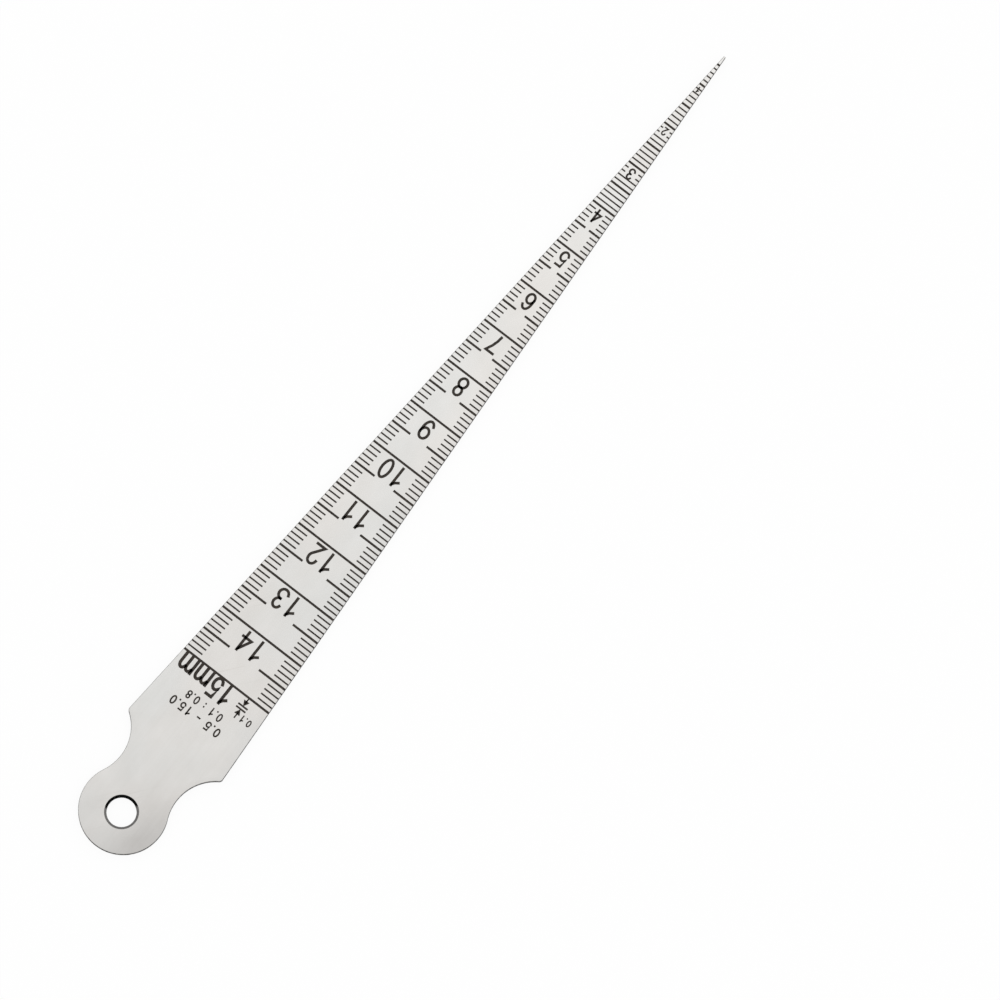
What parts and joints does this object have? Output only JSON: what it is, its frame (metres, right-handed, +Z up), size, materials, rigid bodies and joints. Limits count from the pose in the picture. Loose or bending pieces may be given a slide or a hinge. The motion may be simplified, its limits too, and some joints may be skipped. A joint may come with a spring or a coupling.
{
  "type": "taper gauge",
  "caption": "Flat steel taper gauge: a long pointed blade with etched metric and inch scales on its two faces, shoulders, a waisted neck and a round lug with a hanging hole.",
  "frame": {"origin": "middle of the lower (inch) face: the centre of the bounding box in X and Y, with that face on z = 0", "axes": "+X along the blade towards its tip, +Y across the blade, +Z up out of the metric face"},
  "size_m": [0.1468, 0.0164, 0.001],
  "materials": {
    "satin_steel": "satin stainless steel with a faint lengthwise grain",
    "etch_black": "matt black etch in the scale lines and numerals"
  },
  "bodies": {
    "root": {"gauge_blade": "satin_steel"}
  },
  "joints": []
}
